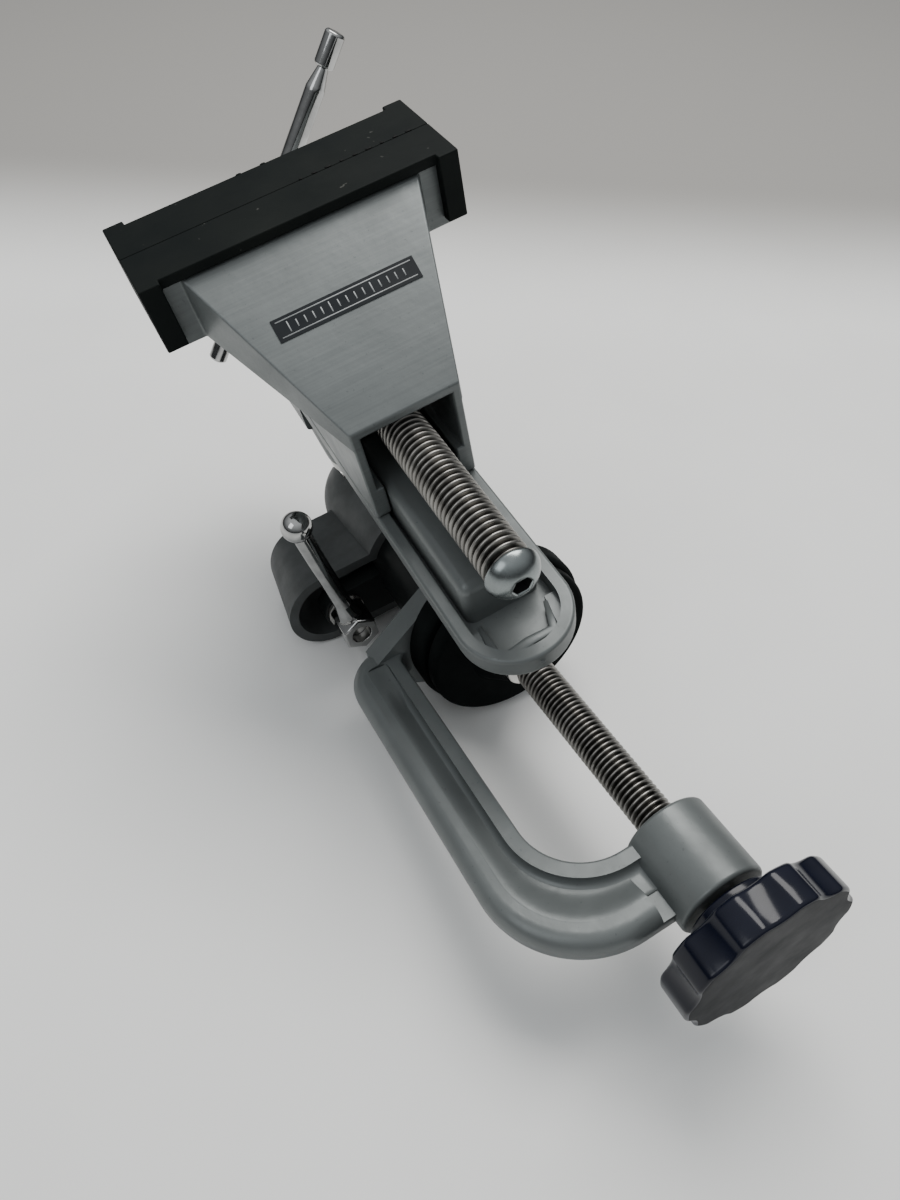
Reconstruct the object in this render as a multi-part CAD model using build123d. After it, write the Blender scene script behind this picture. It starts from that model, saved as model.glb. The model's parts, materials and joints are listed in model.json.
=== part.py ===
"""Ball-joint bench vise for holding small work such as circuit boards.

Three working frames are used and then placed in the row frame (millimetres, +Z up):
clamp frame: origin on the clamp spindle at the inner face of its boss, +Y along the spindle to the pad;
joint frame: origin at the ball centre, +Z along the ball's stem;
head frame: origin on the lead screw where the closed jaws meet, +Y toward the fixed jaw.
"""

import os
from math import cos, pi, radians, sin

from build123d import *

# Row placement: the vise lies on its frame pad, the ear and the ball housing.
REST_PITCH = -6.543
REST_ROLL = -9.222
REST_X = 20.853
REST_Y = -79.427
REST_HEIGHT = 35.541

# Ball joint and head placement in the clamp frame.
BALL = (-4.0, 150.0, 1.0)
HEAD_TURN = (6.7, -3.31, -1.41)
HEAD_OFFSET = (0.0, -5.37, 76.69)
BALL_R = 14.5
STEM_R = 7.0

# Table clamp casting.
SPINE_OUT = -46.0
SPINE_IN = -29.8
ARM_LOW_OUT = -18.7
ARM_LOW_IN = -0.8
ARM_TOP_IN = 81.0
ARM_TOP_OUT = 88.0
FRAME_HALF = 4.8
CORNER_LOW_OUT = 27.0
CORNER_LOW_IN = 17.0
CORNER_TOP_OUT = 12.0
CORNER_TOP_IN = 3.0
FLANGE_OUT = 5.8
FLANGE_IN = 4.0
TROUGH_DEPTH = 2.8
TROUGH_ROUND = 2.2
OUTER_ROUND = 4.0
PLATFORM_R = 24.0
TAB_END = 14.3
BOSS_R = 11.15
BOSS_L = 21.3

# Clamp spindle, knob and foot.
THREAD_R = 5.8
SPINDLE_R = 5.2
RUN_GAP = 0.05
SPINDLE_TIP = 60.0
JOURNAL_R = 4.0
FOOT_R = 25.0
FOOT_FACE = 73.4
FOOT_T = 5.0
PAD_R = 26.5
PAD_T = 7.0
KNOB_R = 22.4
KNOB_LOBES = 10
KNOB_FRONT = -36.3
KNOB_BACK = -27.0
COLLAR_R = 10.6

# Ball housing and its clamp lever.
SKIRT_R = 19.5
SHELL_T = 3.0
SKIRT_FRONT = 116.0
SKIRT_BACK = 145.0
DOME_R = 18.0
SEAT_R = 16.2
EAR = (-38.0, -2.3)
EAR_R = 13.3
EAR_TAPER = 4.0
BOLT = (-34.0, -2.5)
BOLT_R = 3.0
NUT_FRONT = 100.5
NUT_L = 11.0
NUT_AF = 10.4
LEVER_R = 2.7
LEVER_BALL_R = 4.3
LEVER_TIP = (-40.1, 102.0, 45.5)

# Jaws.
JAW_HALF = 37.5
JAW_TOP = 36.0
JAW_LOW = 20.0
FACE_T = 2.6
FLANGE_BACK = 12.4
CAP_HALF = 40.0
CAP_TOP = 38.7
CAP_LOW = 22.0
LIP_IN = 34.8
LIP_BACK = 15.2
TOP_BACK = 13.4
BODY_HALF = 30.2
FIXED_HALF = 27.0
FIXED_END_TOP = 14.0
END_EDGE = 5.7
MOUTH_HALF = 14.15
MOUTH_Y = -54.4
MOUTH_TOP = 11.1
MOUTH_LOW = -17.9
CHANNEL_BACK = -9.2
WALL = 2.3
SLOT_HALF = 10.0
NUT_BACK = -24.0
LEAD_NUT_L = 11.0

# Tongue of the fixed jaw.
TONGUE_HALF = 14.2
TONGUE_END = -95.8
RIM_TOP = -18.2
RIM_W = 3.2
POCKET_Z = -22.5
TIP_Z = -20.4
POCKET_FRONT = -104.3
TONGUE_LOW = -25.5
FIXED_LOW = -34.0
GUIDE_HALF = 9.6
GUIDE_TOP = -9.2
GUIDE_FRONT = -92.0
GUIDE_BACK = -16.0
FIXED_BACK = 41.0
STEM_FLANGE_Z = -50.0

# Lead screw, its end screw and the handle.
SCREW_END = -98.8
COLLAR_BACK = 54.0
COLLAR_FRONT = 41.4
SCREW_COLLAR_R = 8.5
END_HEAD_R = 6.6
END_HEAD_H = 5.0
BAR_Y = 47.5
BAR_R = 2.75
BAR_TILT = 40.7
BAR_HALF = 49.7
BAR_SHIFT = 9.2
BAR_CAP_R = 2.8
BAR_CAP_L = 9.0

UP = (Align.CENTER, Align.CENTER, Align.MIN)
CLAMP_PLACE = Location((REST_X, REST_Y, REST_HEIGHT), (REST_PITCH, REST_ROLL, 0))
JOINT_PLACE = CLAMP_PLACE * Location(BALL, HEAD_TURN)
HEAD_PLACE = JOINT_PLACE * Location(HEAD_OFFSET)


def rod(radius, start, end, x=0.0, z=0.0):
    """Cylinder along Y from start to end."""
    body = Cylinder(radius, end - start, align=UP)
    return Pos(x, start, z) * Rot(-90, 0, 0) * body


def slab(face, start, end):
    """Extrude an XZ outline along Y from start to end."""
    return extrude(Plane.XZ.offset(-end) * face, end - start)


def block(x0, x1, y0, y1, z0, z1):
    """Box between two corners."""
    centre = ((x0 + x1) / 2, (y0 + y1) / 2, (z0 + z1) / 2)
    return Pos(*centre) * Box(x1 - x0, y1 - y0, z1 - z0)


def outline(*points):
    """Closed straight-sided face."""
    return make_face(Polyline(*points, close=True))


def rounded(face, radii):
    """Round chosen corners of a flat face, given as (x, y, radius)."""
    for x, y, radius in radii:
        corner = face.vertices().sort_by_distance((x, y, 0))[0]
        face = fillet(corner, radius)
    return face


def soften(solid, edges, radius):
    """Round the edges, or leave them sharp where the kernel refuses."""
    try:
        return fillet(edges, radius)
    except ValueError:
        return solid


# ---------------------------------------------------------------- table clamp


def c_frame():
    corners = [
        (SPINE_OUT, ARM_LOW_OUT),
        (0, ARM_LOW_OUT),
        (0, ARM_LOW_IN),
        (SPINE_IN, ARM_LOW_IN),
        (SPINE_IN, ARM_TOP_IN),
        (0, ARM_TOP_IN),
        (0, ARM_TOP_OUT),
        (SPINE_OUT, ARM_TOP_OUT),
    ]
    face = rounded(
        outline(*corners),
        [
            (SPINE_OUT, ARM_LOW_OUT, CORNER_LOW_OUT),
            (SPINE_IN, ARM_LOW_IN, CORNER_LOW_IN),
            (SPINE_IN, ARM_TOP_IN, CORNER_TOP_IN),
            (SPINE_OUT, ARM_TOP_OUT, CORNER_TOP_OUT),
        ],
    )
    frame = Pos(0, 0, -FRAME_HALF) * extrude(face, 2 * FRAME_HALF)
    rims = frame.edges().filter_by(Plane.XY)
    outer = rims.filter_by(lambda e: e.center().X < SPINE_OUT + 9 or e.center().Y < ARM_LOW_OUT + 9)
    frame = soften(frame, outer, OUTER_ROUND)
    rims = frame.edges().filter_by(Plane.XY)
    inner = rims.filter_by(lambda e: -29 < e.center().X < -2 and 0 < abs(e.center().Z) - FRAME_HALF + 1)
    frame = soften(frame, inner, 0.8)

    left, right = SPINE_OUT + FLANGE_OUT, SPINE_IN - FLANGE_IN
    low, low_in = ARM_LOW_OUT + FLANGE_OUT, ARM_LOW_IN - FLANGE_IN
    trough = rounded(
        outline((left, low), (-10, low), (-10, low_in), (right, low_in), (right, 81), (left, 81)),
        [
            (left, low, CORNER_LOW_OUT - FLANGE_OUT),
            (right, low_in, CORNER_LOW_IN + FLANGE_IN),
            (left, 81, 2.0),
            (right, 81, 2.0),
        ],
    )
    cut = Pos(0, 0, FRAME_HALF - TROUGH_DEPTH) * extrude(trough, 2 * TROUGH_DEPTH)
    cut = soften(cut, cut.edges().filter_by(Plane.XY).group_by(Axis.Z)[0], TROUGH_ROUND)
    floor_z = FRAME_HALF - TROUGH_DEPTH
    cut += block(-TAB_END, -9, ARM_LOW_OUT - 1, low + 1, floor_z, FRAME_HALF + 1)
    frame = frame - cut - mirror(cut, Plane.XY)

    root = Pos(-33, 0) * Rectangle(8, 2 * FRAME_HALF - 1)
    flare = make_hull(Circle(PLATFORM_R).edges() + root.edges())
    platform = slab(flare, ARM_TOP_IN, ARM_TOP_OUT)
    boss = rod(BOSS_R, -BOSS_L, 0)
    boss = soften(boss, boss.edges(), 1.0)
    frame = frame + platform + boss
    frame -= rod(SPINDLE_R + RUN_GAP, ARM_LOW_OUT - 3, 1)
    frame -= rod(3.05, ARM_TOP_IN - 1, ARM_TOP_IN + 5)
    for x in (-4 - 10, -4 + 10):
        frame -= rod(2.5, ARM_TOP_IN - 1, ARM_TOP_OUT + 1, x)
    return frame


def frame_pad():
    disc = rod(PAD_R, ARM_TOP_IN - PAD_T, ARM_TOP_IN)
    disc = soften(disc, disc.edges().sort_by(Axis.Y)[0], 1.5)
    spigot = rod(3.0, ARM_TOP_IN, ARM_TOP_IN + 5)
    return disc + spigot


def pressure_foot():
    disc = rod(FOOT_R, FOOT_FACE - FOOT_T, FOOT_FACE)
    disc = soften(disc, disc.edges(), 1.5)
    hub = Pos(0, FOOT_FACE - FOOT_T, 0) * Rot(90, 0, 0) * Cone(13, 8.4, 6.4, align=UP)
    foot = disc + hub
    foot -= rod(JOURNAL_R + RUN_GAP, SPINDLE_TIP - 2, FOOT_FACE - 2.5)
    return foot


def foot_retainer():
    ring = rod(6.9, SPINDLE_TIP - 0.8, SPINDLE_TIP + 1.9)
    return ring - rod(JOURNAL_R + 0.2, SPINDLE_TIP - 2, SPINDLE_TIP + 3)


def clamp_spindle():
    shaft = rod(SPINDLE_R, KNOB_BACK + 1, SPINDLE_TIP - 1.2)
    journal = rod(JOURNAL_R, SPINDLE_TIP - 1.2, FOOT_FACE - 2.8)
    square = rod(4.0, KNOB_FRONT + 4, KNOB_BACK + 1)
    return shaft + journal + square


def star_knob():
    wheel = rod(KNOB_R, KNOB_FRONT, KNOB_BACK)
    for index in range(KNOB_LOBES):
        angle = 2 * pi * (index + 0.5) / KNOB_LOBES
        reach = KNOB_R + 8.2
        wheel -= rod(9.6, KNOB_FRONT - 1, KNOB_BACK + 1, reach * cos(angle), reach * sin(angle))
    rims = wheel.edges().filter_by(Plane.XZ)
    wheel = soften(wheel, rims, 1.0)
    collar = rod(COLLAR_R, KNOB_BACK, -BOSS_L - 1.3)
    bore = rod(4.0, KNOB_FRONT + 4, KNOB_BACK + 1) + rod(SPINDLE_R, KNOB_BACK + 1, 0)
    return wheel + collar - bore


# ---------------------------------------------------------------- ball housing


def ear_face(y, inset):
    """Ear outline at one depth; the ear narrows toward the back."""
    shrink = EAR_TAPER * (y - SKIRT_FRONT) / (SKIRT_BACK - SKIRT_FRONT) / 2
    radius = EAR_R - inset - shrink
    x, z = EAR[0] + shrink, EAR[1]
    left = CenterArc((x, z), radius, 90, 180)
    sides = Polyline((x, z - radius), (BALL[0], z - radius), (BALL[0], z + radius), (x, z + radius))
    return Plane.XZ.offset(-y) * make_face(left + sides)


def ear(inset, start, end):
    return loft([ear_face(start, inset), ear_face(end, inset)])


def socket_cap():
    """Hollow housing: skirt, ear open at both ends, and a dome behind the ball."""
    centre = Pos(*BALL)
    skirt = rod(SKIRT_R, SKIRT_FRONT, SKIRT_BACK, BALL[0], BALL[2])
    hollow = rod(SKIRT_R - SHELL_T, SKIRT_FRONT - 1, SKIRT_BACK - 4, BALL[0], BALL[2])
    cap = skirt + ear(0, SKIRT_FRONT, SKIRT_BACK) + centre * Sphere(DOME_R)
    cap = cap - hollow - ear(SHELL_T, SKIRT_FRONT - 1, SKIRT_BACK - 4)
    cap -= centre * Sphere(BALL_R + RUN_GAP)
    cap -= ear(SHELL_T, SKIRT_BACK - 6, SKIRT_BACK + 1) & block(-60, -24, 100, 160, -20, 20)
    slant = outline(
        (SKIRT_BACK, EAR_R - 2.4), (SKIRT_BACK - 7, -20), (SKIRT_BACK + 9, -20), (SKIRT_BACK + 9, EAR_R - 2.4)
    )
    cap -= Pos(-60, 0, 0) * extrude(Plane.YZ * slant, 60 + BALL[0] - 18.5)
    boss = rod(5.4, SKIRT_BACK - 13, SKIRT_BACK - 3, *BOLT)
    rib = block(BOLT[0], BALL[0] - 14, SKIRT_BACK - 5.8, SKIRT_BACK - 3.2, BOLT[1] - 2.2, BOLT[1] + 2.2)
    cap = cap + (boss + rib)
    cap -= rod(BOLT_R + RUN_GAP, 100, 170, *BOLT)
    half = STEM_R + 1.6
    slot_x = BALL[0] - 0.8
    at_rest = centre * Location((0, 0, 0), HEAD_TURN) * Cylinder(half, 40, align=UP)
    upright = Pos(slot_x, BALL[1], BALL[2]) * Rot(-90, 0, 0) * Cylinder(half, 40, align=UP)
    depth = BALL[1] - 1
    between = block(slot_x - half, slot_x + half, depth, depth + 31, BALL[2] + 1, BALL[2] + 30)
    return cap - at_rest - upright - between


def socket_seat():
    barrel = rod(SEAT_R, ARM_TOP_OUT, SKIRT_BACK - 6, BALL[0], BALL[2])
    lug_root = Pos(BALL[0] - 8, BOLT[1]) * Rectangle(4, 15)
    lug = make_hull((Pos(*BOLT) * Circle(6.6)).edges() + lug_root.edges())
    seat = barrel + slab(lug, NUT_FRONT + NUT_L + 1.5, NUT_FRONT + NUT_L + 8)
    seat -= Pos(*BALL) * Sphere(BALL_R + RUN_GAP)
    seat -= rod(BOLT_R + RUN_GAP, 90, 140, *BOLT)
    for x in (BALL[0] - 10, BALL[0] + 10):
        seat -= rod(2.5, ARM_TOP_OUT - 1, ARM_TOP_OUT + 12, x)
    return seat


def seat_screw(x):
    return rod(2.5, ARM_TOP_IN + 0.8, ARM_TOP_OUT + 11.5, x)


def clamp_stud():
    head = rod(5.0, SKIRT_BACK - 3, SKIRT_BACK + 0.4, *BOLT)
    return rod(BOLT_R, NUT_FRONT + 3.5, SKIRT_BACK - 3, *BOLT) + head


def stud_washer():
    start = NUT_FRONT + NUT_L + 0.1
    return rod(5.8, start, start + 1.3, *BOLT) - rod(BOLT_R + 0.1, 90, 140, *BOLT)


def nut_hexagon():
    face = Pos(*BOLT) * Rot(0, 0, 30) * RegularPolygon(NUT_AF / 2, 6, major_radius=False)
    return slab(face, NUT_FRONT, NUT_FRONT + NUT_L)


def lever_nut():
    nut = nut_hexagon()
    nut = soften(nut, nut.edges().filter_by(lambda e: abs(e.center().Y - NUT_FRONT) < 0.1), 0.6)
    return nut - rod(BOLT_R + RUN_GAP, NUT_FRONT - 1, NUT_FRONT + NUT_L + 1, *BOLT)


def lever_axis():
    """Plane at the nut, its normal pointing along the lever rod."""
    start = Vector(BOLT[0], NUT_FRONT + NUT_L / 2, BOLT[1])
    return Plane(origin=start, z_dir=Vector(*LEVER_TIP) - start)


def lever_length():
    return (Vector(*LEVER_TIP) - lever_axis().origin).length


def lever_rod():
    """Rod with a tapered root where it screws into the nut."""
    shaft = Pos(0, 0, 3.6) * Cylinder(LEVER_R, lever_length() - 6.6, align=UP)
    root = Pos(0, 0, 3.6) * Cone(LEVER_R + 1.2, LEVER_R, 8.0, align=UP)
    return lever_axis() * (shaft + root) - nut_hexagon()


def lever_ball():
    ball = Pos(0, 0, lever_length()) * Sphere(LEVER_BALL_R)
    socket = Pos(0, 0, 3.6) * Cylinder(LEVER_R, lever_length() - 6.6, align=UP)
    return lever_axis() * (ball - socket)


# ---------------------------------------------------------------- ball and stem (joint frame)


def joint_ball():
    return Sphere(BALL_R) - Pos(0, 0, BALL_R - 4) * Cylinder(5.0, 10)


def ball_stem():
    top = HEAD_OFFSET[2] + STEM_FLANGE_Z
    stem = Pos(0, 0, BALL_R - 1) * Cylinder(STEM_R, top - BALL_R - 3, align=UP)
    stem -= Sphere(BALL_R)
    spigot = Pos(0, 0, BALL_R - 9) * Cylinder(5.0, 10, align=UP)
    flange = Pos(0, 0, top - 4) * Cylinder(10.5, 3.7, align=UP)
    neck = Pos(0, 0, top - 0.4) * Cylinder(4.5, 12, align=UP)
    return stem + spigot + flange + neck


# ---------------------------------------------------------------- jaws (head frame)


def jaw_body(half, back, end_top, low, channel_front):
    """Wedge-shaped lid on a straight channel, built toward +Y with its jaw face at FACE_T."""
    right = [(half, FACE_T), (half, FLANGE_BACK), (MOUTH_HALF, back)]
    plan = outline(*right, *[(-x, y) for x, y in reversed(right)])
    top = [(FACE_T, JAW_TOP), (FLANGE_BACK, JAW_TOP), (back, end_top)]
    lid_side = outline(*top, (back, end_top - END_EDGE), (FLANGE_BACK, JAW_LOW), (FACE_T, JAW_LOW))
    channel_side = outline(*top, (back, low), (channel_front, low), (channel_front, JAW_TOP))
    lid = (Pos(0, 0, -40) * extrude(plan, 90)) & (Pos(-50, 0, 0) * extrude(Plane.YZ * lid_side, 100))
    channel = Pos(-MOUTH_HALF, 0, 0) * extrude(Plane.YZ * channel_side, 2 * MOUTH_HALF)
    body = lid + channel
    body = soften(body, body.edges().filter_by(lambda e: e.center().Y > FLANGE_BACK + 0.5), 1.4)
    band = block(-JAW_HALF, JAW_HALF, FACE_T, FLANGE_BACK, JAW_LOW, JAW_TOP)
    return body + soften(band, band.edges().filter_by(Axis.Y), 1.0)


def moving_jaw():
    jaw = mirror(jaw_body(BODY_HALF, -MOUTH_Y, MOUTH_TOP, MOUTH_LOW, -CHANNEL_BACK), Plane.XZ)
    inner = MOUTH_HALF - WALL
    jaw -= block(-inner, inner, MOUTH_Y - 1, -14, GUIDE_TOP + 0.6, MOUTH_TOP - WALL)
    jaw -= block(-SLOT_HALF, SLOT_HALF, MOUTH_Y - 1, 0, MOUTH_LOW - 1, GUIDE_TOP + 0.6)
    jaw -= rod(THREAD_R + 0.4, -20, 1)
    return jaw


def lead_nut():
    half = MOUTH_HALF - WALL
    nut = block(-half, half, NUT_BACK - LEAD_NUT_L, NUT_BACK, GUIDE_TOP + 0.6, MOUTH_TOP - WALL)
    return nut - rod(THREAD_R + RUN_GAP, NUT_BACK - LEAD_NUT_L - 1, NUT_BACK + 1)


def nut_plate():
    """Plate that holds the lead nut in its pocket."""
    half = MOUTH_HALF - WALL
    front = NUT_BACK - LEAD_NUT_L
    plate = block(-half, half, front - 1.5, front, GUIDE_TOP + 0.6, MOUTH_TOP - WALL)
    return plate - rod(THREAD_R + 0.5, front - 2, front + 1)


def jaw_cap(sign):
    """Rubber cover clipped over one jaw; sign is +1 for the fixed jaw and -1 for the moving jaw."""
    front = 0.04
    shell = block(-CAP_HALF, CAP_HALF, front, LIP_BACK, CAP_LOW, CAP_TOP)
    shell -= block(-LIP_IN, LIP_IN, TOP_BACK, LIP_BACK + 1, CAP_LOW - 1, CAP_TOP + 1)
    shell -= block(-LIP_IN, LIP_IN, FACE_T, TOP_BACK + 1, CAP_LOW - 1, JAW_TOP)
    shell -= block(-JAW_HALF, JAW_HALF, FACE_T, FLANGE_BACK, CAP_LOW - 1, JAW_TOP)
    return shell if sign > 0 else mirror(shell, Plane.XZ)


def jaw_label():
    """Plain printed plate on the sloping top of the moving jaw."""
    slope = Vector(0, MOUTH_Y + FLANGE_BACK, MOUTH_TOP - JAW_TOP).normalized()
    normal = Vector(0, -slope.Z, slope.Y) * -1
    origin = Vector(0.8, -FLANGE_BACK, JAW_TOP) + slope * 20.3
    plane = Plane(origin=origin, x_dir=(1, 0, 0), z_dir=normal)
    return extrude(plane * Rectangle(36.2, 5.6), 0.15)


def tongue():
    """Long tray with a rounded end and a raised guide down its middle."""
    length = FACE_T + 4 - TONGUE_END
    strip = Pos(0, TONGUE_END + length / 2) * Rectangle(2 * TONGUE_HALF, length)
    plan = Pos(0, TONGUE_END) * Circle(TONGUE_HALF) + strip
    tray = Pos(0, 0, TONGUE_LOW) * extrude(plan, RIM_TOP - TONGUE_LOW)
    low_rim = tray.edges().filter_by(Plane.XY).group_by(Axis.Z)[0].filter_by(lambda e: e.center().Y < 0)
    tray = soften(tray, low_rim, 2.4)
    top_rim = tray.edges().filter_by(Plane.XY).group_by(Axis.Z)[-1].filter_by(lambda e: e.center().Y < 0)
    tray = soften(tray, top_rim, 0.9)
    inner = TONGUE_HALF - RIM_W
    middle = Pos(0, TONGUE_END / 2 + 1) * Rectangle(2 * inner, 2 - TONGUE_END)
    tray -= Pos(0, 0, TIP_Z) * extrude(Pos(0, TONGUE_END) * Circle(inner) + middle, 20)
    front = outline((-8.6, TONGUE_END + 1), (-7.4, POCKET_FRONT), (7.0, POCKET_FRONT), (8.6, TONGUE_END + 1))
    tray -= Pos(0, 0, POCKET_Z) * extrude(middle + front, 20)
    guide = block(-GUIDE_HALF, GUIDE_HALF, GUIDE_FRONT, GUIDE_BACK, POCKET_Z - 1, GUIDE_TOP)
    crown = guide.edges().filter_by(lambda e: e.center().Z > POCKET_Z + 1 and e.center().Y < GUIDE_BACK - 1)
    return tray + soften(guide, crown, 2.5)


def fixed_jaw():
    body = jaw_body(FIXED_HALF, FIXED_BACK, FIXED_END_TOP, FIXED_LOW, FACE_T)
    stem_y = -HEAD_OFFSET[1]
    cone = Pos(0, stem_y, STEM_FLANGE_Z) * Cone(11, 14, TONGUE_LOW - STEM_FLANGE_Z + 1, align=UP)
    jaw = body + tongue() + cone
    jaw -= rod(THREAD_R + 0.06, 0, FIXED_BACK + 1)
    jaw -= rod(9.6, 0, 7.0)
    jaw -= Pos(0, stem_y, STEM_FLANGE_Z - 1) * Cylinder(4.55, 13.5, align=UP)
    return jaw


def stem_washer():
    """Thrust washer between the stem flange and the head."""
    ring = Cylinder(8.5, 0.25, align=UP) - Cylinder(4.6, 2)
    return Pos(0, -HEAD_OFFSET[1], STEM_FLANGE_Z - 0.26) * ring


# ---------------------------------------------------------------- lead screw and handle (head frame)


def bar_plane():
    angle = radians(BAR_TILT)
    return Plane(origin=(0, BAR_Y, 0), x_dir=(0, 1, 0), z_dir=(sin(angle), 0, cos(angle)))


def lead_screw():
    screw = rod(THREAD_R, SCREW_END, COLLAR_FRONT) + rod(SCREW_COLLAR_R, COLLAR_FRONT, COLLAR_BACK)
    screw -= rod(THREAD_R + 1, 5.0, 6.4) - rod(5.2, 4.9, 6.5)
    screw -= bar_plane() * Cylinder(BAR_R + 0.08, 40)
    screw -= rod(3.0, SCREW_END - 1, SCREW_END + 9)
    return screw


def screw_ring():
    return rod(8.8, 5.05, 6.35) - rod(5.25, 4, 8)


def end_screw():
    head = rod(END_HEAD_R, SCREW_END - END_HEAD_H, SCREW_END)
    head = soften(head, head.edges().sort_by(Axis.Y)[0], 3.6)
    front = SCREW_END - END_HEAD_H
    socket = slab(RegularPolygon(2.5, 6, major_radius=False), front - 1, front + 3)
    shank = rod(3.0, SCREW_END, SCREW_END + 8.5)
    return head - socket + shank


def handle_bar():
    """Bar with thinner tips that carry the end caps."""
    low = BAR_SHIFT - BAR_HALF
    shaft = Pos(0, 0, low + BAR_CAP_L + 2) * Cylinder(BAR_R, 2 * (BAR_HALF - BAR_CAP_L - 2), align=UP)
    tips = Pos(0, 0, low + 4) * Cylinder(1.5, 2 * (BAR_HALF - 4), align=UP)
    return bar_plane() * (shaft + tips)


def bar_cap(end):
    centre = BAR_SHIFT + end * (BAR_HALF - BAR_CAP_L / 2)
    cap = Pos(0, 0, centre) * Cylinder(BAR_CAP_R, BAR_CAP_L)
    cap = soften(cap, cap.edges().filter_by(GeomType.CIRCLE), 0.9)
    return bar_plane() * cap - handle_bar()


CLAMP_NODES = {
    "c_frame": c_frame,
    "frame_pad": frame_pad,
    "pressure_foot": pressure_foot,
    "foot_retainer": foot_retainer,
    "clamp_spindle": clamp_spindle,
    "star_knob": star_knob,
    "socket_cap": socket_cap,
    "socket_seat": socket_seat,
    "seat_screw_left": lambda: seat_screw(BALL[0] - 10),
    "seat_screw_right": lambda: seat_screw(BALL[0] + 10),
    "clamp_stud": clamp_stud,
    "stud_washer": stud_washer,
    "lever_nut": lever_nut,
    "lever_rod": lever_rod,
    "lever_ball": lever_ball,
}
JOINT_NODES = {"joint_ball": joint_ball, "ball_stem": ball_stem}
HEAD_NODES = {
    "fixed_jaw": fixed_jaw,
    "stem_washer": stem_washer,
    "moving_jaw": moving_jaw,
    "lead_nut": lead_nut,
    "nut_plate": nut_plate,
    "fixed_cap": lambda: jaw_cap(1),
    "moving_cap": lambda: jaw_cap(-1),
    "jaw_label": jaw_label,
    "lead_screw": lead_screw,
    "screw_ring": screw_ring,
    "end_screw": end_screw,
    "handle_bar": handle_bar,
    "bar_cap_upper": lambda: bar_cap(1),
    "bar_cap_lower": lambda: bar_cap(-1),
}

os.makedirs("parts", exist_ok=True)
for place, nodes in ((CLAMP_PLACE, CLAMP_NODES), (JOINT_PLACE, JOINT_NODES), (HEAD_PLACE, HEAD_NODES)):
    for name, make in nodes.items():
        solid = make()
        export_step(place * solid, os.path.join("parts", name + ".step"))
        print(name, "solids", len(solid.solids()), "volume", round(solid.volume))
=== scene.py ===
import json
import math

import bmesh
import bpy
from mathutils import Matrix, Vector


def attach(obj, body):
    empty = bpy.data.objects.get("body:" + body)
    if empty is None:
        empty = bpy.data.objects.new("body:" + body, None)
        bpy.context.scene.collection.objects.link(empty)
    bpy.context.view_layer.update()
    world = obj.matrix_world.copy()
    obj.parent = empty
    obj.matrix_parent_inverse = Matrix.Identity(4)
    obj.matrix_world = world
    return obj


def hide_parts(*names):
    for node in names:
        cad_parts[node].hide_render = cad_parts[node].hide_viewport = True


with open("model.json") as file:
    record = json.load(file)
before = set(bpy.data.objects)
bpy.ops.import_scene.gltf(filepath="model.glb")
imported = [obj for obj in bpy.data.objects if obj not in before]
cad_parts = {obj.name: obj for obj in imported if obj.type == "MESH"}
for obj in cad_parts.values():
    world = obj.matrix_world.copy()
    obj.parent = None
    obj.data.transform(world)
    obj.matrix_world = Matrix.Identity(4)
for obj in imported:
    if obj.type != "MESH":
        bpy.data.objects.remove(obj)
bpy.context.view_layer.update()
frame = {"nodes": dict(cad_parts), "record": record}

MM = 0.001
RECORD = frame["record"]
SLOT_OF = {part["node"]: part["material_slot"] for part in RECORD["subparts"]}
BODY_OF = {node: body for body, nodes in RECORD["behaviour"]["bodies"].items() for node in nodes}

# ---------------------------------------------------------------- working frames (millimetres)


def placed(x, y, z, pitch=0.0, roll=0.0, yaw=0.0):
    turn = Matrix.Rotation(math.radians(pitch), 4, "X")
    turn = turn @ Matrix.Rotation(math.radians(roll), 4, "Y") @ Matrix.Rotation(math.radians(yaw), 4, "Z")
    return Matrix.Translation((x, y, z)) @ turn


CLAMP = placed(20.853, -79.427, 35.541, -6.543, -9.222)
JOINT = CLAMP @ placed(-4.0, 150.0, 1.0, 6.7, -3.31, -1.41)
HEAD = JOINT @ placed(0.0, -5.37, 76.69)
BAR_TILT = 40.7
BAR = HEAD @ placed(0.0, 47.5, 0.0, 0.0, BAR_TILT)

# ---------------------------------------------------------------- materials


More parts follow.
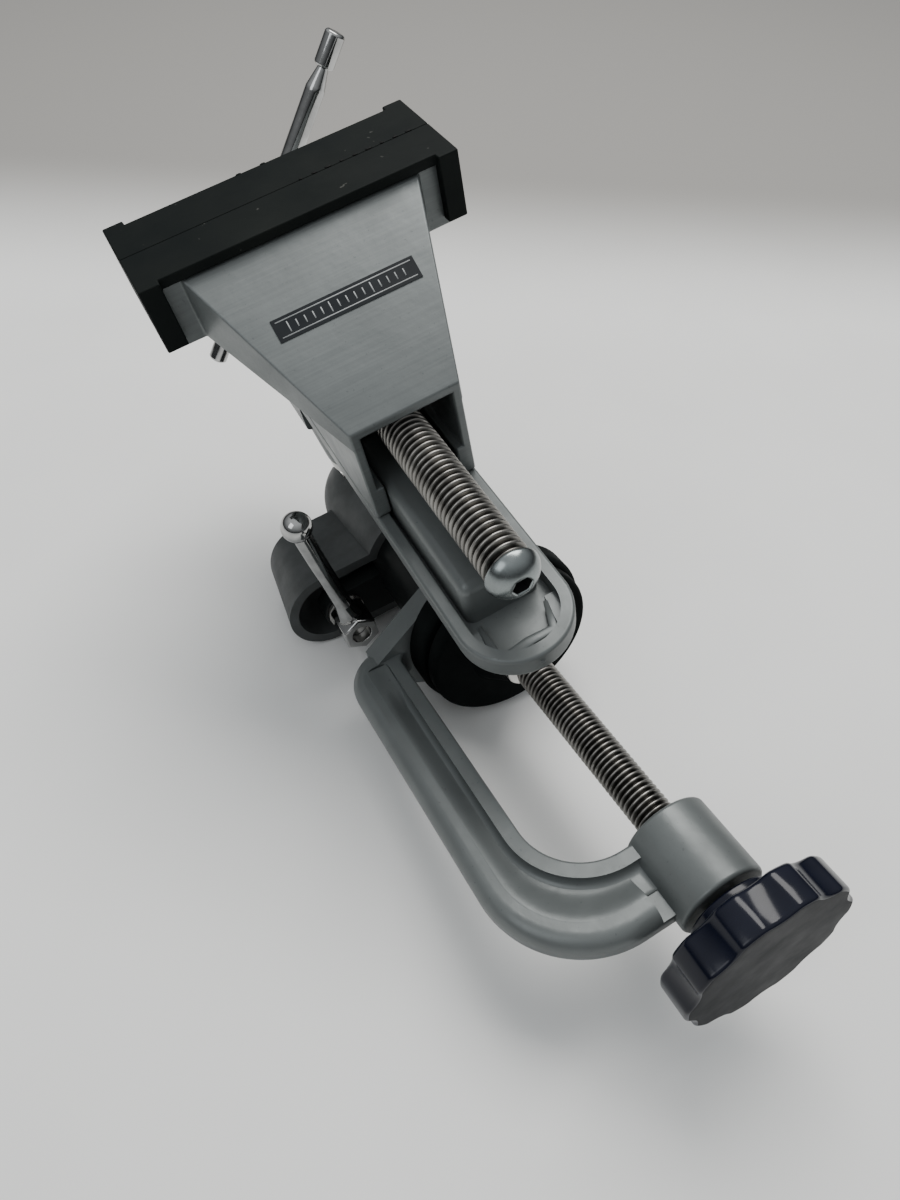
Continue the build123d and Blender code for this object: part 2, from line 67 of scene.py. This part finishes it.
class Paint:
    """A procedural material built from noise in object space."""

    def __init__(self, name, color, rough, metallic=0.0, coat=0.0, ior=1.5):
        self.material = bpy.data.materials.new(name)
        self.material.use_nodes = True
        self.nodes = self.material.node_tree.nodes
        self.links = self.material.node_tree.links
        self.shader = self.nodes["Principled BSDF"]
        self.shader.inputs["Base Color"].default_value = (*color, 1)
        self.shader.inputs["Roughness"].default_value = rough
        self.shader.inputs["Metallic"].default_value = metallic
        self.shader.inputs["Coat Weight"].default_value = coat
        self.shader.inputs["Coat Roughness"].default_value = 0.08
        self.shader.inputs["IOR"].default_value = ior
        self.place = self.nodes.new("ShaderNodeTexCoord").outputs["Object"]
        self.height = None

    def noise(self, scale, detail=4.0, rough=0.55, stretch=None, turn=None):
        """Noise with that many features per metre, stretched along axes turned by the given Euler angles."""
        source = self.place
        if stretch:
            mapping = self.nodes.new("ShaderNodeMapping")
            mapping.vector_type = "POINT"
            if turn:
                aligned = self.nodes.new("ShaderNodeMapping")
                aligned.vector_type = "TEXTURE"
                aligned.inputs["Rotation"].default_value = turn
                self.links.new(source, aligned.inputs["Vector"])
                source = aligned.outputs["Vector"]
            mapping.inputs["Scale"].default_value = stretch
            self.links.new(source, mapping.inputs["Vector"])
            source = mapping.outputs["Vector"]
        node = self.nodes.new("ShaderNodeTexNoise")
        node.inputs["Scale"].default_value = scale
        node.inputs["Detail"].default_value = detail
        node.inputs["Roughness"].default_value = rough
        self.links.new(source, node.inputs["Vector"])
        return node.outputs["Fac"]

    def ramp(self, source, low, high, start=0.35, stop=0.65):
        node = self.nodes.new("ShaderNodeValToRGB")
        node.color_ramp.elements[0].position = start
        node.color_ramp.elements[1].position = stop
        node.color_ramp.elements[0].color = (*low, 1)
        node.color_ramp.elements[1].color = (*high, 1)
        self.links.new(source, node.inputs["Fac"])
        return node.outputs["Color"]

    def mix(self, factor, first, second, blend="MIX"):
        node = self.nodes.new("ShaderNodeMix")
        node.data_type = "RGBA"
        node.blend_type = blend
        if isinstance(factor, float):
            node.inputs[0].default_value = factor
        else:
            self.links.new(factor, node.inputs[0])
        for socket, value in ((6, first), (7, second)):
            if isinstance(value, tuple):
                node.inputs[socket].default_value = (*value, 1)
            else:
                self.links.new(value, node.inputs[socket])
        return node.outputs[2]

    def colour(self, source):
        self.links.new(source, self.shader.inputs["Base Color"])
        return self

    def roughness(self, source, low, high, start=0.3, stop=0.7):
        node = self.nodes.new("ShaderNodeMapRange")
        node.inputs["From Min"].default_value = start
        node.inputs["From Max"].default_value = stop
        node.inputs["To Min"].default_value = low
        node.inputs["To Max"].default_value = high
        self.links.new(source, node.inputs["Value"])
        self.links.new(node.outputs["Result"], self.shader.inputs["Roughness"])
        return self

    def bump(self, source, distance, strength=1.0):
        """Adds a layer of relief, in metres."""
        node = self.nodes.new("ShaderNodeBump")
        node.inputs["Distance"].default_value = distance
        node.inputs["Strength"].default_value = strength
        self.links.new(source, node.inputs["Height"])
        if self.height:
            self.links.new(self.height, node.inputs["Normal"])
        self.height = node.outputs["Normal"]
        self.links.new(self.height, self.shader.inputs["Normal"])
        return self


HEAD_TURN = HEAD.to_euler("XYZ")


def cast_paint(name, base, brushed):
    """Silver-grey paint over die-cast metal: soft sheen, faint smudges and small pits."""
    paint = Paint(name, base, 0.4, metallic=0.3)
    light = tuple(value * 1.12 for value in base)
    dark = tuple(value * 0.88 for value in base)
    tint = paint.ramp(paint.noise(38, 5, 0.6), dark, light, 0.3, 0.72)
    specks = paint.ramp(paint.noise(1100, 2, 0.5), (0.78, 0.78, 0.78), (1.0, 1.0, 1.0), 0.24, 0.32)
    tint = paint.mix(1.0, tint, specks, "MULTIPLY")
    if brushed:
        lines = paint.noise(1.0, 3, 0.5, stretch=(40, 1700, 1700), turn=HEAD_TURN)
        tint = paint.mix(0.6, tint, paint.ramp(lines, (0.88, 0.88, 0.89), (1.07, 1.07, 1.07)), "MULTIPLY")
        paint.bump(lines, 0.00001, 0.5)
    paint.colour(tint)
    paint.roughness(paint.noise(70, 5, 0.65), 0.32, 0.50)
    paint.bump(paint.noise(520, 3, 0.5), 0.00006, 0.55)
    paint.bump(paint.noise(120, 3, 0.5), 0.00025, 0.35)
    return paint.material


def housing_paint():
    paint = Paint("housing_paint", (0.055, 0.06, 0.06), 0.55, metallic=0.25)
    paint.colour(paint.ramp(paint.noise(90, 5, 0.6), (0.046, 0.050, 0.050), (0.068, 0.073, 0.073)))
    paint.roughness(paint.noise(160, 4), 0.46, 0.64)
    paint.bump(paint.noise(1500, 3), 0.00004, 0.6)
    return paint.material


def black_moulding(name, base, low, high, grain, relief, gloss=0.25):
    """Black plastic or rubber; gloss is how strongly its surface mirrors the light."""
    paint = Paint(name, base, low)
    paint.shader.inputs["Specular IOR Level"].default_value = gloss
    light = tuple(value * 1.5 + 0.002 for value in base)
    paint.colour(paint.ramp(paint.noise(60, 5, 0.6), base, light))
    paint.roughness(paint.noise(110, 5, 0.6), low, high)
    paint.bump(paint.noise(grain, 3), relief, 0.6)
    return paint.material


def cap_rubber():
    """Black rubber with a grey bloom and a few dust specks."""
    paint = Paint("cap_rubber", (0.012, 0.014, 0.014), 0.6)
    paint.shader.inputs["Specular IOR Level"].default_value = 0.08
    bloom = paint.ramp(paint.noise(26, 6, 0.6), (0.004, 0.006, 0.006), (0.009, 0.011, 0.010))
    dust = paint.ramp(paint.noise(420, 2, 0.4), (0.0, 0.0, 0.0), (0.10, 0.10, 0.09), 0.74, 0.80)
    paint.colour(paint.mix(1.0, bloom, dust, "ADD"))
    paint.roughness(paint.noise(60, 5, 0.6), 0.50, 0.66)
    paint.bump(paint.noise(2200, 2), 0.00002, 0.7)
    paint.bump(paint.noise(90, 3), 0.00022, 0.3)
    return paint.material


def bright_steel(name, base, low, high, metallic=1.0):
    paint = Paint(name, base, low, metallic=metallic)
    dark = tuple(value * 0.72 for value in base)
    paint.colour(paint.ramp(paint.noise(180, 5, 0.6), dark, base, 0.3, 0.6))
    paint.roughness(paint.noise(240, 4, 0.6), low, high)
    paint.bump(paint.noise(900, 3), 0.00002, 0.5)
    return paint.material


def thread_steel():
    """Rolled thread: the roots are darkened towards black as painted shade, read from the depth stored on the mesh,
    while the crests keep the steel's colour.
    """
    paint = Paint("thread_steel", (0.6, 0.59, 0.57), 0.25, metallic=1.0)
    depth = paint.nodes.new("ShaderNodeAttribute")
    depth.attribute_name = "crest"
    worn = paint.ramp(paint.noise(150, 4, 0.5), (0.20, 0.192, 0.18), (0.34, 0.33, 0.31), 0.3, 0.7)
    # Painted shade: the colour is multiplied down towards black in the thread roots and to about half on the plain
    # rings.
    shade = paint.ramp(depth.outputs["Fac"], (0.05, 0.048, 0.045), (1.0, 1.0, 1.0), 0.05, 0.85)
    paint.colour(paint.mix(1.0, worn, shade, "MULTIPLY"))
    paint.roughness(paint.noise(300, 4, 0.6), 0.26, 0.40)
    paint.bump(paint.noise(500, 2), 0.00002, 0.35)
    return paint.material


CASTING = cast_paint("cast_paint", (0.122, 0.134, 0.133), False)
CASTING_BRUSHED = cast_paint("cast_paint_brushed", (0.130, 0.143, 0.142), True)
MATERIAL = {
    "casting": CASTING,
    "housing": housing_paint(),
    "black_plastic": black_moulding("black_plastic", (0.004, 0.005, 0.005), 0.36, 0.52, 1300, 0.00003, 0.18),
    "knob_plastic": black_moulding("knob_plastic", (0.002, 0.003, 0.009), 0.12, 0.2, 240, 0.00001, 0.3),
    "pad_rubber": black_moulding("pad_rubber", (0.003, 0.004, 0.004), 0.55, 0.7, 1600, 0.00003, 0.02),
    "cap_rubber": cap_rubber(),
    "steel": bright_steel("steel", (0.58, 0.57, 0.55), 0.24, 0.40),
    "chrome": bright_steel("chrome", (0.44, 0.44, 0.435), 0.06, 0.14),
    "label": black_moulding("label_film", (0.004, 0.006, 0.008), 0.25, 0.36, 900, 0.00001, 0.3),
}
THREAD = thread_steel()
DOME_STEEL = bright_steel("dome_steel", (0.27, 0.295, 0.295), 0.20, 0.30)
KNOB_FACE = black_moulding("knob_face", (0.004, 0.005, 0.007), 0.48, 0.62, 240, 0.00002, 0.12)
# Near-black material used as painted shade: inside the hex socket and on the nubs along the cap seam.
SHADED = black_moulding("shaded_socket", (0.004, 0.004, 0.004), 0.5, 0.6, 900, 0.00001, 0.1)
LABEL_PRINT = black_moulding("label_print", (0.30, 0.31, 0.31), 0.4, 0.5, 900, 0.00001)

# ---------------------------------------------------------------- mesh helpers


def add_piece(name, mesh, body, material, nodes=()):
    for polygon in mesh.polygons:
        polygon.use_smooth = True
    mesh.materials.clear()
    mesh.materials.append(material)
    piece = bpy.data.objects.new(name, mesh)
    bpy.context.scene.collection.objects.link(piece)
    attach(piece, body)
    if nodes:
        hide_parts(*nodes)
    return piece


def repaint(piece, material, place, chosen):
    """Gives a second material to the faces whose centre, in millimetres of the place's frame, is chosen."""
    back = place.inverted()
    piece.data.materials.append(material)
    for polygon in piece.data.polygons:
        if chosen(back @ (polygon.center / MM)):
            polygon.material_index = 1
    return piece


def crisp(piece, width, angle=32.0, segments=2):
    """Rounds the hard edges a little and keeps the broad faces flat."""
    bevel = piece.modifiers.new("edges", "BEVEL")
    bevel.width = width * MM
    bevel.segments = segments
    bevel.limit_method = "ANGLE"
    bevel.angle_limit = math.radians(angle)
    bevel.use_clamp_overlap = True
    flat = piece.modifiers.new("flats", "WEIGHTED_NORMAL")
    flat.keep_sharp = False
    flat.weight = 80
    return piece


def rings_mesh(name, rings, place, caps=(True, True), values=None, closed=False):
    """A skin through equal rings of points in millimetres, with fans over its ends."""
    count = len(rings[0])
    points = [place @ Vector(p) * MM for ring in rings for p in ring]
    faces = []
    last = len(rings) if closed else len(rings) - 1
    for row in range(last):
        here, there = row * count, ((row + 1) % len(rings)) * count
        for i in range(count):
            j = (i + 1) % count
            faces.append((here + i, here + j, there + j, there + i))
    if not closed:
        if caps[0]:
            faces.append(tuple(reversed(range(count))))
        if caps[1]:
            start = (len(rings) - 1) * count
            faces.append(tuple(range(start, start + count)))
    mesh = bpy.data.meshes.new(name)
    mesh.from_pydata(points, [], faces)
    # Per-point thread height, which the thread material turns into painted shade in the roots.
    if values:
        crest = mesh.attributes.new("crest", "FLOAT", "POINT")
        crest.data.foreach_set("value", values)
    fix = bmesh.new()
    fix.from_mesh(mesh)
    bmesh.ops.recalc_face_normals(fix, faces=fix.faces)
    fix.to_mesh(mesh)
    fix.free()
    return mesh


def circle_y(radius, y, count=48):
    """Ring round the Y axis; the angle turns as a right-hand screw along +Y."""
    steps = [2 * math.pi * i / count for i in range(count)]
    return [(radius * math.sin(a), y, radius * math.cos(a)) for a in steps]


def circle_z(radius, z, count=48):
    steps = [2 * math.pi * i / count for i in range(count)]
    return [(radius * math.cos(a), radius * math.sin(a), z) for a in steps]


def threaded_rod(name, start, stop, crest_r, pitch, ends, place, count=44, per_pitch=10):
    """Right-hand thread along Y between start and stop, with plain rings added before and after it."""
    root_r = crest_r - 0.58 * pitch
    rings, values = [], []
    before, after = ends
    for y, radius in before:
        rings.append(circle_y(radius, y, count))
        values += [0.5] * count
    steps = int((stop - start) / pitch * per_pitch)
    for k in range(steps + 1):
        y = start + (stop - start) * k / steps
        run = min(1.0, (y - start) / pitch, (stop - y) / pitch)
        ring = []
        for i in range(count):
            angle = 2 * math.pi * i / count
            wave = 0.5 + 0.74 * math.cos(2 * math.pi * (y / pitch - i / count))
            height = max(0.0, min(1.0, wave)) * run
            radius = root_r + (crest_r - root_r) * height
            ring.append((radius * math.sin(angle), y, radius * math.cos(angle)))
            values.append(height)
        rings.append(ring)
    for y, radius in after:
        rings.append(circle_y(radius, y, count))
        values += [0.5] * count
    return rings_mesh(name, rings, place, values=values)


# ---------------------------------------------------------------- CAD shapes with eased edges

EDGE_WIDTH = {
    "c_frame": 0.45,
    "fixed_jaw": 0.45,
    "moving_jaw": 0.9,
    "fixed_cap": 0.35,
    "moving_cap": 0.35,
    "socket_cap": 0.4,
    "socket_seat": 0.3,
    "frame_pad": 0.5,
    "pressure_foot": 0.4,
    "foot_retainer": 0.25,
    "lever_nut": 0.25,
    "ball_stem": 0.3,
    "stud_washer": 0.15,
    "clamp_stud": 0.2,
    "lead_nut": 0.3,
    "nut_plate": 0.2,
}


def eased_copy(node, width):
    """A cleaned copy of a CAD node whose hard edges are rounded by modifiers."""
    source = frame["nodes"][node]
    shape = bmesh.new()
    shape.from_mesh(source.data)
    bmesh.ops.remove_doubles(shape, verts=shape.verts, dist=2e-6)
    bmesh.ops.dissolve_limit(
        shape, angle_limit=math.radians(0.4), verts=shape.verts, edges=shape.edges
    )
    bmesh.ops.recalc_face_normals(shape, faces=shape.faces)
    mesh = bpy.data.meshes.new(node + "_skin")
    shape.to_mesh(mesh)
    shape.free()
    slot = SLOT_OF[node]
    material = CASTING_BRUSHED if node == "moving_jaw" else MATERIAL[slot]
    piece = add_piece(node + "_skin", mesh, BODY_OF[node], material, [node])
    return crisp(piece, width)


for node, source in frame["nodes"].items():
    source.data.materials.clear()
    source.data.materials.append(MATERIAL[SLOT_OF[node]])
for node, width in EDGE_WIDTH.items():
    eased_copy(node, width)

# ---------------------------------------------------------------- clamp arm's hollow

FRAME_HALF = 4.8
HOLLOW = 2.8
EDGE_X, EDGE_Y = -40.2, -12.9
BEND_AT, BEND_R = (-19.0, 8.3), 21.2
INNER_AT, INNER_R = (-12.8, 16.2), 21.0
HOLLOW_END = -14.35
HOLLOW_TOP = 80.5


def hollow_line():
    """Points along the outer edge of the hollow, each with the way towards the inner flange."""
    line = [(x, EDGE_Y, 0.0, 1.0) for x in (HOLLOW_END, -16.0, -17.5)]
    for step in range(25):
        angle = math.radians(-90 - 90 * step / 24)
        cos, sin = math.cos(angle), math.sin(angle)
        line.append((BEND_AT[0] + BEND_R * cos, BEND_AT[1] + BEND_R * sin, -cos, -sin))
    line += [(EDGE_X, 8.3 + (HOLLOW_TOP - 8.3) * step / 24, 1.0, 0.0) for step in range(1, 25)]
    return line


def hollow_fairing(name, side):
    """The casting's soft sweep from the outer flange down to the inner one, over the CAD's plain trough."""
    rings = []
    for x, y, toward_x, toward_y in hollow_line():
        off_x = x - INNER_AT[0]
        off_y = min(0.0, y - INNER_AT[1])
        along = off_x * toward_x + off_y * toward_y
        miss = off_x**2 + off_y**2 - along**2
        width = -along - math.sqrt(INNER_R**2 - miss)
        fade = max(0.0, min(1.0, (HOLLOW_TOP - y) / 16.0))
        depth = HOLLOW * (0.12 + 0.86 * fade * fade * (3 - 2 * fade))
        ring = []
        for k in range(15):
            part = k / 14
            across = -0.3 + (width + 0.3) * part
            drop = max(0.0, min(1.0, across / width / 0.82))
            z = FRAME_HALF + 0.01 - depth * drop * drop * (3 - 2 * drop)
            ring.append((x + toward_x * across, y + toward_y * across, side * z))
        for across in (width, -0.3):
            ring.append((x + toward_x * across, y + toward_y * across, side * (FRAME_HALF - HOLLOW - 0.4)))
        rings.append(ring)
    return add_piece(name, rings_mesh(name, rings, CLAMP), "clamp", CASTING)


crisp(hollow_fairing("hollow_fairing_upper", 1), 0.3, 50)
crisp(hollow_fairing("hollow_fairing_lower", -1), 0.3, 50)

# ---------------------------------------------------------------- screws

LEAD_R = 5.8
LEAD_PITCH = 1.75
LEAD_FRONT = -98.8
LEAD_BACK = 41.4
collar = [(LEAD_BACK, 5.2), (LEAD_BACK, 8.1), (LEAD_BACK + 0.4, 8.5), (53.5, 8.5), (54.0, 8.0), (54.0, 3.0)]
mesh = threaded_rod(
    "lead_thread", LEAD_FRONT, LEAD_BACK - 0.1, LEAD_R, LEAD_PITCH, ([(LEAD_FRONT, 3.0)], collar), HEAD
)
add_piece("lead_thread", mesh, "screw", THREAD, ["lead_screw"])

SPINDLE_R = 5.2
tip = [(59.0, 4.0), (70.4, 4.0), (70.6, 3.6)]
mesh = threaded_rod("spindle_thread", -26.5, 58.8, SPINDLE_R, 1.5, ([(-26.5, 3.0)], tip), CLAMP)
add_piece("spindle_thread", mesh, "spindle", THREAD, ["clamp_spindle"])

# Button head of the end screw: a low dome with a hex socket.
HEAD_R = 6.6
HEAD_H = 5.0
SIDES = 48


def hexagon(flat, y):
    points = []
    for i in range(SIDES):
        angle = 2 * math.pi * i / SIDES
        off = (angle + math.pi / 6) % (math.pi / 3) - math.pi / 6
        radius = flat / 2 / math.cos(off)
        points.append((radius * math.sin(angle), y, radius * math.cos(angle)))
    return points


rings = [circle_y(2.9, -90.3, SIDES), circle_y(2.9, LEAD_FRONT + 0.05, SIDES), circle_y(6.2, LEAD_FRONT, SIDES)]
for step in range(13):
    bow = math.radians(4 + 62 * step / 12)
    rings.append(circle_y(HEAD_R * math.cos(bow) / math.cos(math.radians(4)),
                          LEAD_FRONT - HEAD_H * math.sin(bow) / math.sin(math.radians(66)), SIDES))
front = LEAD_FRONT - HEAD_H
rings += [hexagon(4.6, front + 0.02), hexagon(4.2, front + 0.35), hexagon(4.2, front + 2.6), circle_y(0.4, front + 3.2, SIDES)]
dome = add_piece("button_head", rings_mesh("button_head", rings, HEAD), "screw", DOME_STEEL, ["end_screw"])
# The inside of the hex socket is painted near-black as painted shade in the recess.
repaint(dome, SHADED, HEAD, lambda at: math.hypot(at.x, at.z) < 2.5 and front + 0.4 < at.y < front + 4)

# ---------------------------------------------------------------- knob

LOBES = 10
LOBE_R = 22.4
FLUTE_R = 9.6
FLUTE_AT = 30.6


def lobed(inset, y, turn=0.5):
    points = []
    count = LOBES * 20
    for i in range(count):
        angle = 2 * math.pi * i / count
        off = (angle - 2 * math.pi * turn / LOBES + math.pi / LOBES) % (2 * math.pi / LOBES) - math.pi / LOBES
        reach = FLUTE_R**2 - (FLUTE_AT * math.sin(off)) ** 2
        flute = FLUTE_AT * math.cos(off) - math.sqrt(reach) if reach > 0 else 99.0
        blend = 0.35
        low, high = min(flute, LOBE_R), max(flute, LOBE_R)
        soft = low - blend * math.log(1 + math.exp(-min(high - low, 20) / blend)) * 0.5
        radius = soft - inset
        points.append((radius * math.cos(angle), y, radius * math.sin(angle)))
    return points


def knob_mesh():
    rings = [lobed(inset, -36.3) for inset in (19.0, 12.0, 6.0, 2.5)]
    for step in range(6):
        bow = math.pi / 2 * step / 5
        rings.append(lobed(0.95 * (1 - math.sin(bow)), -35.35 - 0.95 * math.cos(bow)))
    rings += [lobed(0.0, -31.0)]
    for step in range(6):
        bow = math.pi / 2 * step / 5
        rings.append(lobed(1.1 * (1 - math.cos(bow)), -28.1 + 1.1 * math.sin(bow)))
    rings.append(lobed(6.0, -27.0))
    return rings_mesh("knob", rings, CLAMP)


knob = add_piece("knob", knob_mesh(), "spindle", MATERIAL["knob_plastic"], ["star_knob"])
repaint(knob, KNOB_FACE, CLAMP, lambda at: at.y < -36.2)
neck = [(-27.2, 4.0), (-27.2, 10.6), (-25.0, 10.6), (-24.7, 10.2), (-24.4, 10.6), (-23.0, 10.6), (-22.65, 10.2), (-22.65, 5.4)]
mesh = rings_mesh("knob_collar", [circle_y(radius, y, 64) for y, radius in neck], CLAMP)
crisp(add_piece("knob_collar", mesh, "spindle", MATERIAL["knob_plastic"]), 0.15)

# ---------------------------------------------------------------- tommy bar

BAR_LOW = 9.2 - 49.7
BAR_HIGH = 9.2 + 49.7


def bar_profile(points, name):
    return rings_mesh(name, [circle_z(radius, z, 40) for z, radius in points], BAR)


BAR_R = 2.75
TIP_R = 2.8
swage = [(9.0, 1.5), (9.3, 1.55), (14.0, 2.6), (14.5, BAR_R), (15.2, BAR_R)]
low_end = [(BAR_LOW + 5.0, 1.4)] + [(BAR_LOW + z, r) for z, r in swage]
high_end = [(BAR_HIGH - z, r) for z, r in reversed(swage)] + [(BAR_HIGH - 5.0, 1.4)]
shaft = bar_profile(low_end + high_end, "bar_shaft")
crisp(add_piece("bar_shaft", shaft, "handle", MATERIAL["chrome"], ["handle_bar"]), 0.12, 25)
for name, tip_z, way in (("bar_tip_upper", BAR_HIGH, -1), ("bar_tip_lower", BAR_LOW, 1)):
    shape = [(0.0, 1.4), (0.0, 2.1), (0.2, 2.5), (0.7, TIP_R), (8.2, TIP_R), (8.7, 2.6), (9.0, 2.0), (9.0, 1.4)]
    mesh = bar_profile([(tip_z + way * z, radius) for z, radius in shape], name)
    crisp(add_piece(name, mesh, "handle", MATERIAL["chrome"], [name.replace("tip", "cap")]), 0.12, 30)

# ---------------------------------------------------------------- small details on the jaws


def bead(name, points, radius, place, body, material, height=0.5):
    """A low rounded line of material along the points."""
    rings = []
    for index, point in enumerate(points):
        here = Vector(point)
        after = Vector(points[min(index + 1, len(points) - 1)])
        before = Vector(points[max(index - 1, 0)])
        along = (after - before).normalized()
        side = along.cross(Vector((0, 0, 1))).normalized()
        size = radius * (0.4 if index in (0, len(points) - 1) else 1.0)
        ring = []
        for k in range(10):
            angle = 2 * math.pi * k / 10
            ring.append(here + side * size * math.cos(angle) + Vector((0, 0, 1)) * size * height * math.sin(angle))
        rings.append(ring)
    return add_piece(name, rings_mesh(name, rings, place), body, material)


def nub(name, x, y, z, size, place, body, material):
    """A small moulded burr on a rubber cap."""
    half_x, half_y, half_z = (value / 2 for value in size)
    rings = []
    for level, grow in ((-1.0, 1.0), (0.2, 1.0), (0.75, 0.85), (1.0, 0.5)):
        ring = []
        for k in range(12):
            angle = 2 * math.pi * k / 12
            ring.append((x + half_x * grow * math.cos(angle), y + half_y * grow * math.sin(angle), z + half_z * level))
        rings.append(ring)
    return add_piece(name, rings_mesh(name, rings, place), body, material)


RIDGE_TOP = -20.35
RIDGE = [(-8.2, -94.8), (-8.8, -103.9), (-7.2, -105.0), (-0.7, -104.2), (5.8, -104.3), (7.9, -97.1)]
points = [(x, y, RIDGE_TOP) for x, y in RIDGE]
bead("tongue_ridge", points, 1.3, HEAD, "head", CASTING, 0.28)
points = [(-0.7, -104.2, RIDGE_TOP), (-0.8, -107.6, RIDGE_TOP - 0.1), (-0.8, -110.4, RIDGE_TOP - 0.3)]
bead("tongue_ridge_end", points, 1.1, HEAD, "head", CASTING, 0.28)

CAP_TOP = 38.7
# The seam nubs use the near-black shade material, as painted shade in the small gaps along the cap's seam.
for index in range(9):
    x = 6.0 + 3.6 * index
    wide = 1.1 + 0.9 * ((index * 7) % 3) / 2
    nub(f"seam_nub_{index}", x, 0.4, CAP_TOP - 0.1, (wide, 0.75, 0.4), HEAD, "head", SHADED)
for index, x in enumerate((-5.2, 1.2)):
    nub(f"edge_nub_{index}", x, 13.2, CAP_TOP - 0.1, (1.5, 0.7, 0.5), HEAD, "head", MATERIAL["cap_rubber"])

# ---------------------------------------------------------------- label: a plain black plate with a ruled border and ticks

SLOPE = Vector((0, -54.4 + 12.4, 11.1 - 36.0)).normalized()
NORMAL = Vector((0, SLOPE.z, -SLOPE.y))
LABEL_AT = Vector((0.8, -12.4, 36.0)) + SLOPE * 20.3
LABEL_HALF = 18.1


def strip(name, x0, x1, s0, s1):
    """A printed bar on the label, between two places across and two down the slope."""
    corners = [(x0, s0), (x1, s0), (x1, s1), (x0, s1)]
    rings = []
    for lift in (0.13, 0.19):
        rings.append([LABEL_AT + Vector((x, 0, 0)) + SLOPE * s + NORMAL * lift for x, s in corners])
    mesh = rings_mesh(name, rings, HEAD)
    return add_piece(name, mesh, "slide_jaw", LABEL_PRINT)


strip("label_rule_top", -LABEL_HALF + 0.9, LABEL_HALF - 0.9, -2.05, -1.8)
strip("label_rule_low", -LABEL_HALF + 0.9, LABEL_HALF - 0.9, 1.8, 2.05)
for index in range(15):
    x = -14.7 + 2.1 * index
    reach = 0.9 if index % 5 else 1.3
    strip(f"label_tick_{index}", x - 0.14, x + 0.14, -reach, reach)

# ---------------------------------------------------------------- stage, light and camera

CAMERA_AT = CLAMP @ Vector((-64.2, -77.6, 198.9))
RIGHT = Vector((0.8637, -0.4775, -0.1611))
DOWN = Vector((-0.4558, -0.6039, -0.6539))
FORWARD = Vector((0.2149, 0.6382, -0.7393))
turn = CLAMP.to_3x3()
axes = Matrix([turn @ RIGHT, -(turn @ DOWN), -(turn @ FORWARD)]).transposed()
lens = bpy.data.cameras.new("camera")
lens.sensor_fit = "VERTICAL"
lens.sensor_height = 36.0
lens.lens = 26.7
lens.clip_start = 0.01
camera = bpy.data.objects.new("camera", lens)
camera.matrix_world = Matrix.Translation(CAMERA_AT * MM) @ axes.to_4x4()
bpy.context.scene.collection.objects.link(camera)
bpy.context.scene.camera = camera

heading = turn @ FORWARD
heading = Vector((heading.x, heading.y, 0)).normalized()


def floor_paint():
    """Pale grey paper that turns darker beyond the table."""
    paint = Paint("floor_paper", (0.60, 0.60, 0.585), 0.75)
    shift = paint.nodes.new("ShaderNodeVectorMath")
    shift.operation = "DOT_PRODUCT"
    shift.inputs[1].default_value = heading
    paint.links.new(paint.place, shift.inputs[0])
    reach = paint.nodes.new("ShaderNodeMapRange")
    reach.inputs["From Min"].default_value = 0.21
    reach.inputs["From Max"].default_value = 0.36
    reach.interpolation_type = "SMOOTHSTEP"
    paint.links.new(shift.outputs["Value"], reach.inputs["Value"])
    near = paint.ramp(paint.noise(9, 3), (0.85, 0.85, 0.835), (0.89, 0.89, 0.875))
    paint.colour(paint.mix(reach.outputs["Result"], near, (0.31, 0.30, 0.285)))
    return paint.material


bpy.ops.mesh.primitive_plane_add(size=8.0, location=(0, 0, -0.0002))
floor = bpy.context.object
floor.name = "floor"
floor.data.materials.append(floor_paint())

world = bpy.data.worlds.new("studio")
world.use_nodes = True
sky = world.node_tree.nodes
link = world.node_tree.links.new
backdrop = sky["Background"]
split = sky.new("ShaderNodeSeparateXYZ")
link(sky.new("ShaderNodeTexCoord").outputs["Generated"], split.inputs[0])
dome = sky.new("ShaderNodeValToRGB")
dome.color_ramp.elements[0].position = 0.05
dome.color_ramp.elements[0].color = (0.06, 0.064, 0.068, 1)
dome.color_ramp.elements[1].position = 0.85
dome.color_ramp.elements[1].color = (0.95, 0.98, 1.0, 1)
link(split.outputs["Z"], dome.inputs["Fac"])
link(dome.outputs["Color"], backdrop.inputs["Color"])
backdrop.inputs["Strength"].default_value = 0.75
bpy.context.scene.world = world


def soft_box(name, place, aim, size, power, color):
    data = bpy.data.lights.new(name, "AREA")
    data.shape = "RECTANGLE"
    data.size, data.size_y = size
    data.energy = power
    data.color = color
    light = bpy.data.objects.new(name, data)
    light.location = place
    light.rotation_euler = (Vector(aim) - Vector(place)).to_track_quat("-Z", "Y").to_euler()
    bpy.context.scene.collection.objects.link(light)


soft_box("overhead", (0.30, 0.30, 0.95), (0, 0.02, 0), (0.75, 0.5), 9.0, (1.0, 0.985, 0.96))
soft_box("side", (-0.75, -0.2, 0.75), (0, 0, 0.03), (0.5, 0.6), 1.8, (0.94, 0.97, 1.0))
